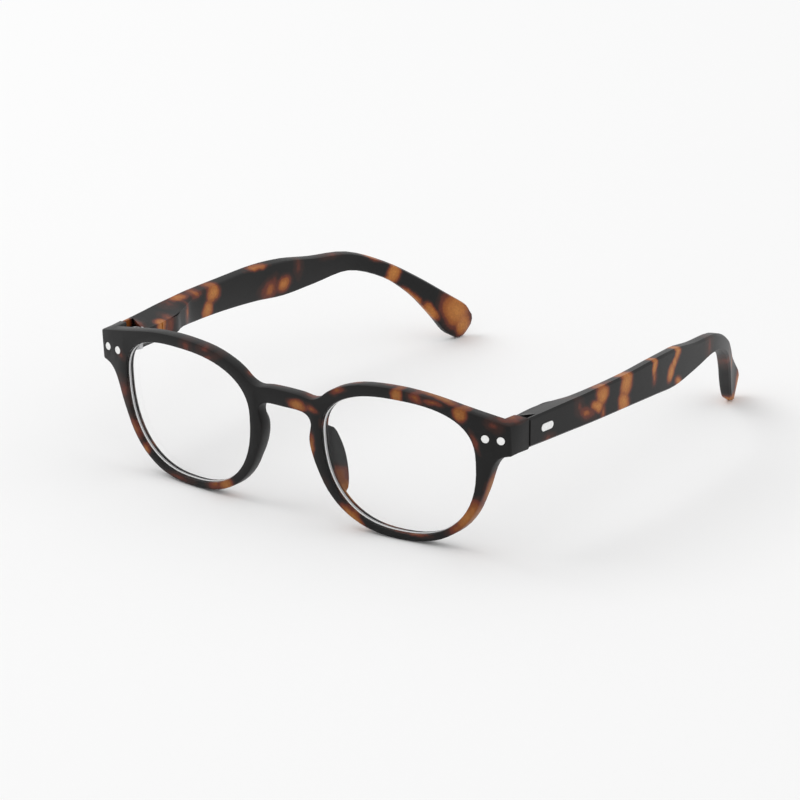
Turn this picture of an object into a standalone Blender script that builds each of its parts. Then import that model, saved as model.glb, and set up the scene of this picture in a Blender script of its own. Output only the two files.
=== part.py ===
"""Folding reading glasses with a one-piece front, moulded nose rests and sprung temple hinges.

Frame: +X is the wearer's left, the front faces -Y, +Z is up. The glasses stand open on the
rim bottoms and the temple tips, with the origin below the middle of their outer box.
The shapes are worked out in millimetres and written to the objects in metres.
"""

import math

import bmesh
import bpy
from mathutils import Matrix, Vector

MM = 0.001

# Overall driving dimensions, in millimetres
HALF_WIDTH = 70.1          # centre line to the outer corner of the front
RIM_TOP = 45.0             # height of the front as it stands
TEMPLE_END = 146.1         # outer corner of the front to the last section of the temple
FRONT_THICKNESS = 4.0

# The outlines below are drawn for these sizes and carried over to the driving ones
DRAWN_HALF_WIDTH = 70.1
DRAWN_RIM_TOP = 45.0
DRAWN_TEMPLE_END = 146.1
WIDE = HALF_WIDTH / DRAWN_HALF_WIDTH
TALL = RIM_TOP / DRAWN_RIM_TOP

FACE_LEAN = 0.0873         # how far the face comes forward for each millimetre up
FACE_APEX = -8.6           # face at the centre line, at LEAN_HEIGHT
FACE_BOW = 3.23            # rearward sweep of the face, second power
FACE_BOW_ENDS = 0.57       # rearward sweep of the face, fourth power
BOW_REACH = 50.0 * WIDE    # half width at which both sweeps are measured
LEAN_HEIGHT = 25.0

# Front outline, as (x, z) for the wearer's left half
BRIDGE_TOP = 37.4
BRIDGE_BOTTOM = 32.35
CORNER_TOP = 39.0
CORNER_BOTTOM = 30.1
EDGE_ROUND = 0.55
TOP_EDGE = (
    (0.0, BRIDGE_TOP), (5.0, BRIDGE_TOP - 0.15), (9.2, BRIDGE_TOP - 0.7), (12.3, BRIDGE_TOP + 0.4),
    (15.0, 40.0), (19.0, 42.2), (25.5, 44.2), (34.0, DRAWN_RIM_TOP), (42.0, 44.8), (50.0, 43.7),
    (60.0, 41.4), (DRAWN_HALF_WIDTH, CORNER_TOP),
)
OUTER_EDGE = (
    (DRAWN_HALF_WIDTH, CORNER_BOTTOM), (68.4, CORNER_BOTTOM - 0.35), (66.6, 28.9), (65.0, 26.9),
    (63.8, 24.0), (62.7, 20.5), (61.2, 16.6), (58.6, 11.1), (54.4, 6.0), (48.5, 2.2),
    (42.3, 0.5), (36.0, 0.0), (29.5, 0.45), (23.5, 2.1), (17.8, 5.4),
)
NASAL_EDGE = ((13.3, 10.2), (10.3, 16.0), (8.6, 21.0), (8.1, 24.5), (8.6, 27.4), (8.9, 29.2))
UNDER_BRIDGE = ((8.4, 30.8), (7.0, 31.9), (4.5, BRIDGE_BOTTOM), (0.0, BRIDGE_BOTTOM))
EDGE_STEPS = 3
MERGE_WIDTH = 0.3          # outline points nearer than this become one

# Lens aperture: four quarters of superellipses about one centre
LENS_CENTRE = (36.15 * WIDE, 27.0 * TALL)
LENS_HALF_WIDTH = 23.75 * WIDE
LENS_ABOVE = 14.65 * TALL
LENS_BELOW = 24.87 * TALL
POWER_TOP_OUTER = 2.65
POWER_TOP_INNER = 2.3
POWER_BOTTOM_INNER = 2.4
POWER_BOTTOM_OUTER = 2.35
LENS_STEPS = 64
LENS_RINGS = 2
LENS_THICKNESS = 1.8
LENS_CROWN = 0.35          # extra lens thickness at its middle, on the face side
LENS_DEPTH = 1.2           # face of the front to the face of the lens, at the rim
GROOVE_DEPTH = 0.8
LENS_GAP = 0.15            # lens edge and faces to the groove

# Nose rests
REST_TOP = 28.6 * TALL
REST_BOTTOM = 9.0 * TALL
REST_FOOT = (14.4, 8.6)    # end of the edge that the rest follows, below NASAL_EDGE
REST_REACH = 7.0           # past the back of the front
REST_FLARE = 3.4           # sideways spread from the face to the rear edge
REST_THICKNESS = 2.0
REST_ROOT = 2.1            # depth behind the face at which the rest leaves the rim
REST_SET_IN = 0.25         # from the rim's nasal edge to the rest's skin
REST_BULGE = 0.55          # how far the nose side swells
REST_STEPS = 16

# End pieces, which wrap back to the temples
WRAP_THICKNESS = 3.9
WRAP_END = 7.9             # rear end of the wrap at its outer face
WRAP_SPLAY = 0.4           # outward lean of the wrap's outer face over its length
MITRE = 0.5                # forward slant of the wrap's end for each millimetre inwards

# Hinge, about an upright axis
AXIS_X = HALF_WIDTH - 5.2
AXIS_Y = WRAP_END + 0.8
AXIS_Z = 34.6 * TALL
KNUCKLE_RADIUS = 1.75
KNUCKLE_TOP = 2.9
EYE_HALF_HEIGHT = 1.1
SCREW_RADIUS = 0.7
SCREW_HEAD_RADIUS = 1.2
SCREW_HEAD_HEIGHT = 0.7
BUSH_WALL = 0.3
RUNNING_GAP = 0.05         # radial clearance of the turning and sliding fits
SIDE_GAP = 0.05            # between the eye and each knuckle
SEAT_GAP = 0.3             # between pieces that touch
ARM_HALF_WIDTH = 0.8
ARM_ROOT = 0.3             # behind the leaf plate's face
ARM_ROOM = (7.0, 5.0)      # inward and forward reach of the room for the arms at full fold
TONGUE_GAP = 0.15          # tongue to housing
TONGUE_STEP = 0.07         # eye's end to the tongue's
LEAF_THICKNESS = 1.0
LEAF_DEPTH = 3.2           # face of the front to the leaf plate
LEAF_HALF_LENGTH = 3.4

# Spring mechanism, measured back from the axis
HOUSING_START = 2.25
HOUSING_END = 14.2
HOUSING_HALF_WIDTH = 1.45
HOUSING_HALF_HEIGHT = 2.1
HOUSING_WALL = 1.1         # thickness of the front wall, which the spring pushes on
SPRING_BORE = 1.15
ROD_RADIUS = 0.55
ROD_END = 12.4
RING_LENGTH = 1.2
RING_RADIUS = 1.08
SPRING_RADIUS = 0.85
SPRING_WIRE = 0.14
SPRING_TURNS = 8
SPRING_END_GAP = 0.1

# Rivets with flat round heads
RIVET_HEAD_RADIUS = 1.15
RIVET_HEAD_DEPTH = 0.45
RIVET_PROUD = 0.06
RIVET_SHANK_RADIUS = 0.6
RIVET_INNER_X = HALF_WIDTH - 7.0
RIVET_PITCH = 4.35
RIVET_Z = AXIS_Z - 0.1

# Temples: outer face beyond the corner, y, middle height, height, thickness at each place
SEAM_GAP = 0.3
SKIN_THICKNESS = 1.2
TEMPLE_PATH = (
    (0.5, WRAP_END + SEAM_GAP, 34.6, 8.4, 8.2),
    (1.1, 17.0, 34.5, 8.7, 8.3),
    (1.7, 25.0, 34.5, 8.9, 7.7),
    (2.1, 32.0, 34.4, 9.1, 6.0),
    (2.4, 40.0, 34.3, 9.4, 4.2),
    (2.3, 55.0, 33.9, 9.9, 3.8),
    (1.6, 70.0, 33.4, 10.9, 3.7),
    (0.3, 82.0, 32.4, 11.1, 3.7),
    (-1.3, 94.0, 31.7, 8.3, 3.7),
    (-4.0, 109.4, 31.0, 5.4, 3.7),
    (-8.5, 122.4, 25.8, 4.6, 3.7),
    (-13.1, 131.8, 19.0, 5.8, 3.7),
    (-16.9, 138.9, 12.0, 8.4, 3.6),
    (-19.1, 143.7, 6.9, 10.6, 3.3),
    (-19.9, DRAWN_TEMPLE_END, 4.5, 9.6, 2.8),
)
BLOCK_END = 40.0           # the thick part of the temple keeps its length up to here
TEMPLE_STEPS = 4           # sections between neighbouring places
TEMPLE_EDGE = 0.9
TEMPLE_EDGE_SHARE = 0.35   # largest edge round as a share of the thickness
OUTER_EDGE_SHARE = 0.7     # the outer edges are a little sharper than the inner ones
TIP_STEPS = 4
TIP_LENGTH = 0.85          # rounded end as a share of half the last height
POCKET_BACK = WRAP_END + 4.3   # rear end of the pocket behind the wrap, at the skin
POCKET_SLANT = 0.57
POCKET_INNER = AXIS_X - 9.9    # past the temple's inner face
POCKET_HALF_HEIGHT = 10.0

# Inlay on the left temple
INLAY_Y = 15.4
INLAY_HALF_LENGTH = 2.6
INLAY_HALF_HEIGHT = 1.1
INLAY_DEPTH = 0.5
INLAY_PROUD = 0.05

ROUND_STEPS = 28


def clear_scene():
    for item in list(bpy.data.objects):
        bpy.data.objects.remove(item, do_unlink=True)


def material(name, colour, roughness, metallic=0.0, alpha=1.0):
    made = bpy.data.materials.new(name)
    made.use_nodes = True
    shader = made.node_tree.nodes["Principled BSDF"]
    shader.inputs["Base Color"].default_value = (*colour, 1.0)
    shader.inputs["Roughness"].default_value = roughness
    shader.inputs["Metallic"].default_value = metallic
    shader.inputs["Alpha"].default_value = alpha
    return made


# ---------------------------------------------------------------- curves and shape formulas

def face_y(x, z):
    """Where the face of the bowed and leaning front lies."""
    share = (x / BOW_REACH) ** 2
    bow = FACE_BOW * share + FACE_BOW_ENDS * share * share
    return FACE_APEX + bow - FACE_LEAN * (z - LEAN_HEIGHT)


def smooth_through(points, steps):
    """A smooth curve through points of any length, with the first and last kept."""
    curve = []
    ends = [points[0]] + list(points) + [points[-1]]
    for i in range(1, len(ends) - 2):
        for k in range(steps):
            t = k / steps
            curve.append(tuple(
                0.5 * (2 * b + (c - a) * t + (2 * a - 5 * b + 4 * c - d) * t * t
                       + (3 * b - a - 3 * c + d) * t ** 3)
                for a, b, c, d in zip(ends[i - 1], ends[i], ends[i + 1], ends[i + 2])))
    curve.append(tuple(points[-1]))
    return curve


def lens_outline(offset, steps=LENS_STEPS):
    """The left lens aperture, widened all round by offset."""
    outline = []
    for k in range(steps):
        angle = 2 * math.pi * k / steps
        c, s = math.cos(angle), math.sin(angle)
        if s >= 0:
            power = POWER_TOP_OUTER if c >= 0 else POWER_TOP_INNER
            height = LENS_ABOVE
        else:
            power = POWER_BOTTOM_OUTER if c >= 0 else POWER_BOTTOM_INNER
            height = LENS_BELOW
        x = LENS_CENTRE[0] + (LENS_HALF_WIDTH + offset) * math.copysign(abs(c) ** (2 / power), c)
        z = LENS_CENTRE[1] + (height + offset) * math.copysign(abs(s) ** (2 / power), s)
        outline.append((x, z))
    return outline


def carried(points):
    """Drawn outline points carried over to the driving width and height."""
    return [(x * WIDE, z * TALL) for x, z in points]


def half_outline():
    """The front's outer outline from the bridge top round to the bridge bottom, for x >= 0."""
    top = smooth_through(carried(TOP_EDGE), EDGE_STEPS)
    side = smooth_through(carried(OUTER_EDGE + NASAL_EDGE + UNDER_BRIDGE), EDGE_STEPS)
    return top + side


def temple_places():
    """The temple's places as (x, y, z, height, thickness), smoothed along its length."""
    stretch = (TEMPLE_END - BLOCK_END) / (DRAWN_TEMPLE_END - BLOCK_END)
    places = []
    for beyond, y, z, height, thick in TEMPLE_PATH:
        along = y if y <= BLOCK_END else BLOCK_END + (y - BLOCK_END) * stretch
        places.append((HALF_WIDTH + beyond, along, z * TALL, height, thick))
    return smooth_through(places, TEMPLE_STEPS)


# ---------------------------------------------------------------- mesh helpers

def new_object(name, mesh_maker):
    mesh = bpy.data.meshes.new(name)
    bm = bmesh.new()
    mesh_maker(bm)
    bmesh.ops.recalc_face_normals(bm, faces=bm.faces)
    bm.to_mesh(mesh)
    bm.free()
    made = bpy.data.objects.new(name, mesh)
    bpy.context.collection.objects.link(made)
    return made


def loft(bm, rings):
    """Quads between closed rings of equal length, with both ends capped."""
    rows = [[bm.verts.new(p) for p in ring] for ring in rings]
    count = len(rows[0])
    for a, b in zip(rows, rows[1:]):
        for i in range(count):
            j = (i + 1) % count
            bm.faces.new((a[i], a[j], b[j], b[i]))
    bm.faces.new(list(reversed(rows[0])))
    bm.faces.new(rows[-1])


def box(name, low, high):
    def build(bm):
        x0, y0, z0 = low
        x1, y1, z1 = high
        rings = [[(x0, y0, z), (x1, y0, z), (x1, y1, z), (x0, y1, z)] for z in (z0, z1)]
        loft(bm, rings)
    return new_object(name, build)


def prism(name, outline, z0, z1):
    """An upright prism over a plan outline of (x, y) points."""
    def build(bm):
        loft(bm, [[(x, y, z) for x, y in outline] for z in (z0, z1)])
    return new_object(name, build)


def turned(name, profile, centre, direction=(0, 0, 1), steps=ROUND_STEPS):
    """A solid turned about a line through centre: profile is (distance along, radius) pairs."""
    def build(bm):
        rings = []
        for along, radius in profile:
            rings.append([(radius * math.cos(2 * math.pi * k / steps),
                           radius * math.sin(2 * math.pi * k / steps), along) for k in range(steps)])
        loft(bm, rings)
        turn = Vector((0, 0, 1)).rotation_difference(Vector(direction)).to_matrix().to_4x4()
        bmesh.ops.transform(bm, matrix=Matrix.Translation(centre) @ turn, verts=bm.verts)
    return new_object(name, build)


def tube(name, z0, z1, outer, inner, centre, direction=(0, 0, 1), steps=ROUND_STEPS):
    """A plain sleeve."""
    def build(bm):
        rings = []
        for along, radius in ((z0, inner), (z0, outer), (z1, outer), (z1, inner)):
            rings.append([bm.verts.new((radius * math.cos(2 * math.pi * k / steps),
                                        radius * math.sin(2 * math.pi * k / steps), along))
                          for k in range(steps)])
        for a, b in zip(rings, rings[1:] + rings[:1]):
            for i in range(steps):
                j = (i + 1) % steps
                bm.faces.new((a[i], a[j], b[j], b[i]))
        turn = Vector((0, 0, 1)).rotation_difference(Vector(direction)).to_matrix().to_4x4()
        bmesh.ops.transform(bm, matrix=Matrix.Translation(centre) @ turn, verts=bm.verts)
    return new_object(name, build)


def boolean(target, tool, operation):
    """Join or cut with an exact Boolean, which uses the tool up."""
    step = target.modifiers.new(operation.lower(), "BOOLEAN")
    step.operation = operation
    step.solver = "EXACT"
    step.object = tool
    bpy.context.view_layer.update()
    graph = bpy.context.evaluated_depsgraph_get()
    mesh = bpy.data.meshes.new_from_object(target.evaluated_get(graph))
    target.modifiers.clear()
    old = target.data
    target.data = mesh
    bpy.data.meshes.remove(old)
    bpy.data.objects.remove(tool, do_unlink=True)


def cut(target, tool):
    boolean(target, tool, "DIFFERENCE")


def join(target, tool):
    boolean(target, tool, "UNION")


def bend_front(target):
    """Carries a piece from the flat front onto the bowed and leaning one."""
    bm = bmesh.new()
    bm.from_mesh(target.data)
    tidy_mesh(bm)
    bmesh.ops.triangulate(bm, faces=bm.faces)
    for vertex in bm.verts:
        vertex.co.y += face_y(vertex.co.x, vertex.co.z)
    bm.to_mesh(target.data)
    bm.free()


def mirrored(source, name):
    """The same piece for the wearer's right."""
    mesh = source.data.copy()
    mesh.transform(Matrix.Scale(-1, 4, (1, 0, 0)))
    mesh.flip_normals()
    made = bpy.data.objects.new(name, mesh)
    bpy.context.collection.objects.link(made)
    return made


def depth_middle(pieces):
    """The middle of the pieces' joint outer box from front to back."""
    depths = [vertex.co.y for piece in pieces for vertex in piece.data.vertices]
    return (min(depths) + max(depths)) / 2


def finish(piece, look, middle, origin=(0.0, 0.0, 0.0), smooth_angle=35.0):
    """Metres, shading, material and an origin on the joint axis."""
    shift = Vector((0.0, -middle, 0.0))
    centre = Vector(origin) + (shift if any(origin) else Vector((0, 0, 0)))
    piece.data.transform(Matrix.Translation(shift - centre))
    piece.data.transform(Matrix.Scale(MM, 4))
    piece.location = centre * MM
    piece.data.name = piece.name
    piece.data.materials.clear()
    piece.data.materials.append(look)
    piece.data.shade_smooth()
    piece.data.set_sharp_from_angle(angle=math.radians(smooth_angle))


# ---------------------------------------------------------------- the front

def flat_plate():
    """The front before bending: an outlined plate with two apertures and rearward end pieces."""
    right_half = half_outline()
    left_half = [(-x, z) for x, z in reversed(right_half[1:-1])]
    outline = right_half + left_half

    def build(bm):
        wrap_line = HALF_WIDTH - WRAP_THICKNESS
        front = [bm.verts.new((x, 0.0, z)) for x, z in outline]
        bm.faces.new(front)
        grown = bmesh.ops.extrude_face_region(bm, geom=bm.faces[:])
        moved = [v for v in grown["geom"] if isinstance(v, bmesh.types.BMVert)]
        bmesh.ops.translate(bm, verts=moved, vec=(0.0, FRONT_THICKNESS, 0.0))
        for side in (-1, 1):
            bmesh.ops.bisect_plane(bm, geom=bm.verts[:] + bm.edges[:] + bm.faces[:],
                                   plane_co=(side * wrap_line, 0, 0), plane_no=(1, 0, 0))
        ends = [f for f in bm.faces
                if abs(f.calc_center_median().x) > wrap_line
                and all(v.co.y > FRONT_THICKNESS - 0.01 for v in f.verts)]
        grown = bmesh.ops.extrude_face_region(bm, geom=ends)
        moved = [v for v in grown["geom"] if isinstance(v, bmesh.types.BMVert)]
        bmesh.ops.delete(bm, geom=ends, context="FACES")
        for vertex in moved:
            outward = abs(vertex.co.x) - HALF_WIDTH
            vertex.co.y = wrap_depth(abs(vertex.co.x), vertex.co.z) + MITRE * outward
            vertex.co.x += math.copysign(WRAP_SPLAY, vertex.co.x)
    plate = new_object("front_frame", build)
    for side in (-1, 1):
        opening = [(side * x, z) for x, z in lens_outline(0.0)]
        cut(plate, flat_disc("aperture", opening, -1.0, FRONT_THICKNESS + 1.0))
    return plate


def wrap_depth(x, z):
    """How far behind the face the wrap ends, before bending."""
    return WRAP_END - face_y(x, z)


def flat_disc(name, outline, y0, y1):
    """A plate over an (x, z) outline, from y0 to y1."""
    def build(bm):
        loft(bm, [[(x, y, z) for x, z in outline] for y in (y0, y1)])
    return new_object(name, build)


def round_edges(piece):
    """Rounds the plate's sharp edges and splits it so that it bends smoothly."""
    bm = bmesh.new()
    bm.from_mesh(piece.data)
    bmesh.ops.remove_doubles(bm, verts=bm.verts, dist=MERGE_WIDTH)
    bmesh.ops.dissolve_limit(bm, angle_limit=0.01, verts=bm.verts, edges=bm.edges)
    sharp = [e for e in bm.edges
             if len(e.link_faces) == 2 and e.calc_face_angle(0.0) > math.radians(50)]
    bmesh.ops.bevel(bm, geom=sharp, offset=EDGE_ROUND, offset_type="OFFSET", segments=2,
                    profile=0.5, affect="EDGES", clamp_overlap=False)
    place = -HALF_WIDTH + 5.0
    while place < HALF_WIDTH - 1.0:
        bmesh.ops.bisect_plane(bm, geom=bm.verts[:] + bm.edges[:] + bm.faces[:],
                               plane_co=(place + 0.013, 0, 0), plane_no=(1, 0, 0))
        place += 5.0
    tidy_mesh(bm)
    bm.to_mesh(piece.data)
    bm.free()


def tidy_mesh(bm):
    """Merges points that all but coincide and drops the slivers between them."""
    bmesh.ops.remove_doubles(bm, verts=bm.verts, dist=0.004)
    bmesh.ops.dissolve_degenerate(bm, edges=bm.edges, dist=0.002)


def nose_rest():
    """The left nose rest, a tapered wing that runs back from the nasal rim."""
    edge = smooth_through(carried(NASAL_EDGE[::-1] + (REST_FOOT,)), 8)

    def edge_x(z):
        for (xa, za), (xb, zb) in zip(edge, edge[1:]):
            if zb <= z <= za:
                return xa + (xb - xa) * (z - za) / (zb - za)
        return edge[-1][0]

    def build(bm):
        rings = []
        for k in range(REST_STEPS + 1):
            share = k / REST_STEPS
            z = REST_TOP + (REST_BOTTOM - REST_TOP) * share
            swell = math.sin(math.pi * share ** 0.8) ** 0.65 if 0 < share < 1 else 0.0
            reach = REST_REACH * swell
            bulge = REST_BULGE * swell
            skin = edge_x(z) + REST_SET_IN
            tip = FRONT_THICKNESS + reach
            depth = tip - REST_ROOT
            flare = REST_FLARE * (tip / (FRONT_THICKNESS + REST_REACH))
            thick = REST_THICKNESS * (0.55 + 0.45 * swell)
            rings.append([
                (skin + 1.65, REST_ROOT, z),
                (skin - bulge * 0.3, REST_ROOT - 0.1, z),
                (skin - bulge + 0.25 * flare, REST_ROOT + depth * 0.4, z),
                (skin - bulge * 0.6 + 0.6 * flare, REST_ROOT + depth * 0.75, z),
                (skin + 0.92 * flare, tip - 0.35 * swell, z),
                (skin + flare + 0.45 * thick, tip, z),
                (skin + flare + thick, tip - 0.45 * swell, z),
                (skin + 0.1 + 0.7 * flare + thick, REST_ROOT + depth * 0.7, z),
                (skin + 0.2 + 0.3 * flare + thick, REST_ROOT + depth * 0.35, z),
            ])
        loft(bm, rings)
    return new_object("nose_rest", build)


def build_front():
    front = flat_plate()
    round_edges(front)
    rest = nose_rest()
    other = mirrored(rest, "nose_rest_right")
    join(front, rest)
    join(front, other)
    for side in (-1, 1):
        groove = [(side * x, z) for x, z in lens_outline(GROOVE_DEPTH)]
        low = LENS_DEPTH - LENS_GAP
        high = LENS_DEPTH + LENS_THICKNESS + LENS_GAP
        cut(front, flat_disc("groove", groove, low, high))
    bend_front(front)
    for side in (-1, 1):
        cut(front, leaf_recess(side))
        for rivet_x in (RIVET_INNER_X, RIVET_INNER_X + RIVET_PITCH):
            cut(front, rivet_solid("rivet_hole", side * rivet_x, LENS_GAP * 0.5, 5.0))
    return front


def build_lens(name, side):
    """A thin lens with a crowned face, held in the groove all round."""
    def build(bm):
        inner = GROOVE_DEPTH - LENS_GAP
        rim = lens_outline(inner)
        cx, cz = LENS_CENTRE
        rings = []
        for ring in range(LENS_RINGS + 1):
            share = 1 - ring / (LENS_RINGS + 0.4)
            crown = LENS_CROWN * (1 - share * share)
            rings.append([(side * (cx + (x - cx) * share), LENS_DEPTH - crown, cz + (z - cz) * share)
                          for x, z in rim])
        rings.reverse()
        for ring in range(LENS_RINGS + 1):
            share = 1 - ring / (LENS_RINGS + 0.4)
            rings.append([(side * (cx + (x - cx) * share), LENS_DEPTH + LENS_THICKNESS,
                           cz + (z - cz) * share) for x, z in rim])
        loft(bm, rings)
    lens = new_object(name, build)
    bend_front(lens)
    return lens


# ---------------------------------------------------------------- rivets and hinge leaf

def face_frame(x, z):
    """A point on the face and the unit direction into the front there."""
    step = 0.01
    slope = (face_y(x + step, z) - face_y(x - step, z)) / (2 * step)
    point = Vector((x, face_y(x, z), z))
    return point, Vector((-slope, 1.0, 0.0)).normalized()


def rivet_solid(name, x, widen=0.0, length=None):
    """A flat round head and its shank; widened, it is the hole for them."""
    point, inward = face_frame(x, RIVET_Z)
    end = LEAF_DEPTH + LEAF_THICKNESS if length is None else length
    head = RIVET_HEAD_RADIUS + widen
    start = -RIVET_PROUD if widen == 0.0 else -1.0
    shoulder = RIVET_HEAD_DEPTH + widen
    profile = [(start, head - (0.12 if widen == 0.0 else 0.0)), (start + 0.08, head), (shoulder, head),
               (shoulder, RIVET_SHANK_RADIUS + widen * 0.6), (end, RIVET_SHANK_RADIUS + widen * 0.6)]
    return turned(name, profile, point, inward, 24)


def leaf_turn(side):
    """Where the leaf plate lies: its middle and its turn about the upright."""
    middle_x = RIVET_INNER_X + RIVET_PITCH / 2
    point, inward = face_frame(middle_x, AXIS_Z)
    centre = point + inward * LEAF_DEPTH
    turn = math.atan2(-inward.x, inward.y)
    return Matrix.Translation(centre) @ Matrix.Rotation(turn, 4, "Z")


def leaf_blocks(name, grow):
    """The leaf plate with its two arms to the knuckles, grown all round by grow."""
    height = KNUCKLE_TOP + grow
    plate = box(name, (-LEAF_HALF_LENGTH - grow, -grow, AXIS_Z - height),
                (LEAF_HALF_LENGTH + grow, LEAF_THICKNESS + grow, AXIS_Z + height))
    place = leaf_turn(1)
    place = Matrix.Translation((place.translation.x, place.translation.y, 0.0)) @ place.to_3x3().to_4x4()
    plate.data.transform(place)
    inner = EYE_HALF_HEIGHT + SIDE_GAP
    if grow > 0.0:
        spans = [(-height, height)]
    else:
        spans = [(-height, -inner), (inner, height)]
    for low, high in spans:
        arm = box("arm", (AXIS_X - ARM_HALF_WIDTH - grow, place.translation.y + ARM_ROOT, AXIS_Z + low),
                  (AXIS_X + ARM_HALF_WIDTH + grow, AXIS_Y + 2 * grow, AXIS_Z + high))
        join(plate, arm)
    return plate


def leaf_recess(side):
    """The hollow in the end piece that takes the leaf."""
    recess = leaf_blocks("leaf_recess", SEAT_GAP)
    if side < 0:
        flipped = mirrored(recess, "leaf_recess_right")
        bpy.data.objects.remove(recess, do_unlink=True)
        return flipped
    return recess


def build_leaf():
    leaf = leaf_blocks("hinge_leaf_left", 0.0)
    centre = (AXIS_X, AXIS_Y, AXIS_Z)
    inner = EYE_HALF_HEIGHT + SIDE_GAP
    for low, high in ((-KNUCKLE_TOP, -inner), (inner, KNUCKLE_TOP)):
        join(leaf, turned("knuckle", [(low, KNUCKLE_RADIUS), (high, KNUCKLE_RADIUS)], centre))
    bore = SCREW_RADIUS + RUNNING_GAP
    cut(leaf, turned("bore", [(-KNUCKLE_TOP - 1, bore), (KNUCKLE_TOP + 1, bore)], centre))
    seat = SCREW_HEAD_RADIUS + RUNNING_GAP
    floor = KNUCKLE_TOP - SCREW_HEAD_HEIGHT - SIDE_GAP
    cut(leaf, turned("head_seat", [(floor, seat), (KNUCKLE_TOP + 1, seat)], centre))
    for rivet_x in (RIVET_INNER_X, RIVET_INNER_X + RIVET_PITCH):
        point, inward = face_frame(rivet_x, RIVET_Z)
        hole = RIVET_SHANK_RADIUS + RUNNING_GAP
        cut(leaf, turned("rivet_hole", [(0.0, hole), (6.0, hole)], point, inward, 24))
    return leaf


def build_screw():
    centre = (AXIS_X, AXIS_Y, AXIS_Z)
    top = KNUCKLE_TOP
    shoulder = top - SCREW_HEAD_HEIGHT
    screw = turned("hinge_screw_left", [
        (-KNUCKLE_TOP + 0.1, SCREW_RADIUS - 0.15), (-KNUCKLE_TOP + 0.3, SCREW_RADIUS),
        (shoulder, SCREW_RADIUS), (shoulder, SCREW_HEAD_RADIUS),
        (top - 0.1, SCREW_HEAD_RADIUS), (top, SCREW_HEAD_RADIUS - 0.12)], centre)
    slot = box("slot", (AXIS_X - 2, AXIS_Y - 0.15, AXIS_Z + top - 0.3),
               (AXIS_X + 2, AXIS_Y + 0.15, AXIS_Z + top + 1))
    cut(screw, slot)
    return screw


# ---------------------------------------------------------------- spring mechanism

def build_bush():
    inner = SCREW_RADIUS + RUNNING_GAP
    return tube("hinge_bush_left", -EYE_HALF_HEIGHT, EYE_HALF_HEIGHT, inner + BUSH_WALL, inner,
                (AXIS_X, AXIS_Y, AXIS_Z))


def build_slider():
    """The eye, its tongue and the rod that runs back through the spring."""
    eye = turned("hinge_slider_left", [(-EYE_HALF_HEIGHT, KNUCKLE_RADIUS), (EYE_HALF_HEIGHT, KNUCKLE_RADIUS)],
                 (AXIS_X, AXIS_Y, AXIS_Z))
    half = EYE_HALF_HEIGHT - TONGUE_STEP
    tongue = box("tongue", (AXIS_X - ARM_HALF_WIDTH, AXIS_Y + SEAT_GAP, AXIS_Z - half),
                 (AXIS_X + ARM_HALF_WIDTH, AXIS_Y + HOUSING_START - TONGUE_GAP, AXIS_Z + half))
    join(eye, tongue)
    join(eye, turned("rod", [(1.4, ROD_RADIUS), (ROD_END - 0.15, ROD_RADIUS), (ROD_END, ROD_RADIUS - 0.15)],
                     (AXIS_X, AXIS_Y, AXIS_Z), (0, 1, 0), 20))
    bore = SCREW_RADIUS + 2 * RUNNING_GAP + BUSH_WALL
    cut(eye, turned("bore", [(-2, bore), (2, bore)], (AXIS_X, AXIS_Y, AXIS_Z)))
    return eye


def build_end_ring():
    return tube("hinge_end_ring_left", ROD_END - RING_LENGTH, ROD_END - 0.1, RING_RADIUS,
                ROD_RADIUS + RUNNING_GAP, (AXIS_X, AXIS_Y, AXIS_Z), (0, 1, 0), 20)


def build_housing():
    housing = box("hinge_housing_left",
                  (AXIS_X - HOUSING_HALF_WIDTH, AXIS_Y + HOUSING_START, AXIS_Z - HOUSING_HALF_HEIGHT),
                  (AXIS_X + HOUSING_HALF_WIDTH, AXIS_Y + HOUSING_END, AXIS_Z + HOUSING_HALF_HEIGHT))
    centre = (AXIS_X, AXIS_Y, AXIS_Z)
    wall_end = HOUSING_START + HOUSING_WALL
    guide = ROD_RADIUS + RUNNING_GAP
    cut(housing, turned("spring_bore", [(wall_end, SPRING_BORE), (HOUSING_END + 1, SPRING_BORE)],
                        centre, (0, 1, 0), 20))
    cut(housing, turned("rod_guide", [(0.5, guide), (wall_end + 1, guide)], centre, (0, 1, 0), 20))
    return housing


def build_spring():
    """A coil between the housing's front wall and the ring on the rod."""
    start = HOUSING_START + HOUSING_WALL + SPRING_END_GAP + SPRING_WIRE
    end = ROD_END - RING_LENGTH - SPRING_END_GAP - SPRING_WIRE
    steps = SPRING_TURNS * 9
    sides = 4

    def build(bm):
        rings = []
        for k in range(steps + 1):
            angle = 2 * math.pi * SPRING_TURNS * k / steps
            along = start + (end - start) * k / steps
            out = Vector((math.cos(angle), 0.0, math.sin(angle)))
            spot = Vector((AXIS_X, AXIS_Y + along, AXIS_Z)) + out * SPRING_RADIUS
            ring = []
            for j in range(sides):
                turn = 2 * math.pi * j / sides
                ring.append(spot + out * (SPRING_WIRE * math.cos(turn))
                            + Vector((0, 1, 0)) * (SPRING_WIRE * math.sin(turn)))
            rings.append(ring)
        loft(bm, rings)
    return new_object("hinge_spring_left", build)


# ---------------------------------------------------------------- temples

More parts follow.
